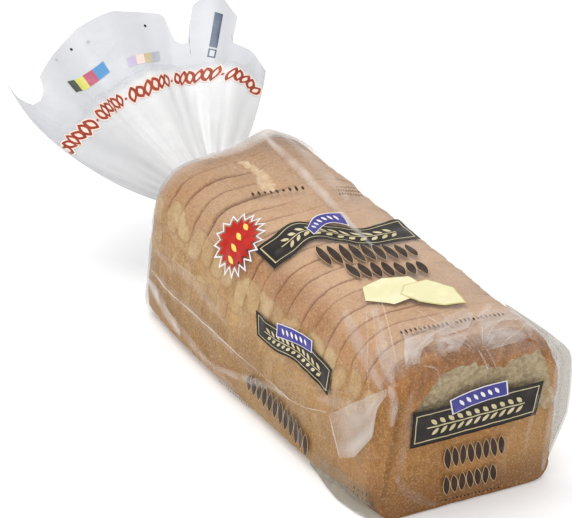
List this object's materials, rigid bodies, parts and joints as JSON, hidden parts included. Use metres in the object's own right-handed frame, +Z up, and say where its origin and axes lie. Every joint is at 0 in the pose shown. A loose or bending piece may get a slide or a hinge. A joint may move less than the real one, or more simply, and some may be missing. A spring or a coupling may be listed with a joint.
{
  "type": "sliced bread loaf in bread bag",
  "caption": "Sliced sandwich loaf in a clear film bag, lying on its base, with a gathered neck and a flared open tail.",
  "frame": {"origin": "centre of the loaf's flat base, on the surface it rests on", "axes": "-Y towards the closed front end, +Y towards the neck and the tail, +Z up from the base to the loaf's crown"},
  "size_m": [0.1782, 0.417, 0.1347],
  "materials": {
    "filled_bag": "clear glossy film over golden-brown crust",
    "bag_film": "thin clear polythene film, glossy, wrinkled, slightly hazy",
    "bag_print": "flat colours printed on the film",
    "bread_crust": "matt baked crust, golden brown on top and paler at the sides",
    "bread_crumb": "matt porous crumb",
    "tie": "satin plastic strip over a wire"
  },
  "bodies": {
    "root": {"bread_bag": "filled_bag", "neck_tie": "tie"}
  },
  "joints": []
}
